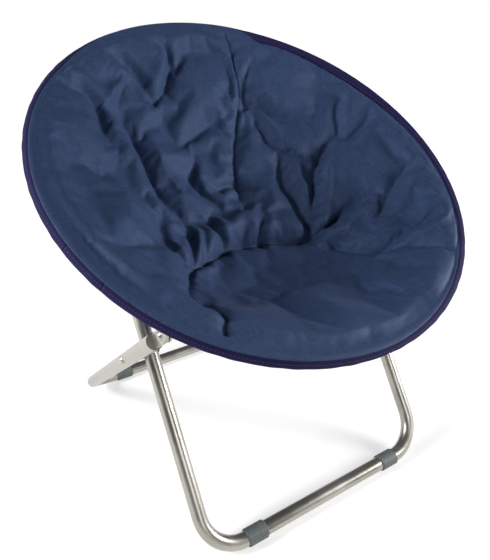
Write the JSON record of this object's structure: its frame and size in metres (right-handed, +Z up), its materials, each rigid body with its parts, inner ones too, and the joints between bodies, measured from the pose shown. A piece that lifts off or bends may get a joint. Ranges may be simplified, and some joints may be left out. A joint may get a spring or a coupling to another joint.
{
  "type": "folding saucer chair",
  "caption": "Round padded bowl seat on a hinged ring of tube, carried by crossed U-shaped tube legs that fold flat with it.",
  "frame": {"origin": "on the floor, at the bottom centre of the bounding box, under the middle of the seat ring", "axes": "+Z up, front of the chair towards -Y, +X to the right seen from the front with the ring's hinge line along X"},
  "size_m": [0.758, 0.6518, 0.7821],
  "materials": {
    "frame_steel": "satin metallic powder coat, warm silver",
    "fitting_steel": "satin metallic powder coat",
    "rivet_steel": "plain bright",
    "foot_plastic": "matte grey",
    "spacer_nylon": "matte black",
    "cover_cloth": "fine woven polyester, padded, slight sheen",
    "binding_cloth": "woven tape, stitched"
  },
  "bodies": {
    "rear_leg": {"rear_leg_tube": "frame_steel", "rear_leg_end_left": "fitting_steel", "rear_leg_end_right": "fitting_steel", "scissor_rivet_left": "rivet_steel", "scissor_rivet_right": "rivet_steel", "scissor_spacer_left": "spacer_nylon", "scissor_spacer_right": "spacer_nylon", "rear_foot_left": "foot_plastic", "rear_foot_right": "foot_plastic"},
    "front_leg": {"front_leg_tube": "frame_steel", "front_leg_end_left": "fitting_steel", "front_leg_end_right": "fitting_steel", "front_foot_left": "foot_plastic", "front_foot_right": "foot_plastic"},
    "ring_front": {"ring_front_tube": "frame_steel", "hinge_plate_front_left": "fitting_steel", "hinge_plate_front_right": "fitting_steel", "hinge_rivet_left": "rivet_steel", "hinge_rivet_right": "rivet_steel", "seat_bracket_left": "fitting_steel", "seat_bracket_right": "fitting_steel", "seat_bracket_rivet_left": "rivet_steel", "seat_bracket_rivet_right": "rivet_steel", "hem_front": "binding_cloth", "hem_over_hinge_left": "binding_cloth", "hem_over_hinge_right": "binding_cloth", "seat_pad": "cover_cloth"},
    "ring_back": {"ring_back_tube": "frame_steel", "hinge_plate_back_left": "fitting_steel", "hinge_plate_back_right": "fitting_steel", "back_bracket_left": "fitting_steel", "back_bracket_right": "fitting_steel", "back_bracket_rivet_left": "rivet_steel", "back_bracket_rivet_right": "rivet_steel", "hem_back": "binding_cloth", "back_pad": "cover_cloth"}
  },
  "joints": [
    {"name": "ring_fold", "type": "hinge", "parent": "ring_front", "child": "ring_back", "pos_m": [0, -0.11034, 0.51318], "axis": [1, 0, 0], "range_deg": [0, 160], "deforming": ["seat_pad", "back_pad", "hem_over_hinge_left", "hem_over_hinge_right"]},
    {"name": "seat_tilt", "type": "hinge", "parent": "rear_leg", "child": "ring_front", "pos_m": [0, -0.19043, 0.43193], "axis": [1, 0, 0], "range_deg": [-68, 0]},
    {"name": "leg_scissor", "type": "hinge", "parent": "rear_leg", "child": "front_leg", "pos_m": [0, -0.03923, 0.29662], "axis": [1, 0, 0], "range_deg": [0, 65]}
  ],
  "couplings": [
    {"joint": "seat_tilt", "follows": "ring_fold", "ratio": -0.42},
    {"joint": "leg_scissor", "follows": "ring_fold", "ratio": 0.4}
  ]
}
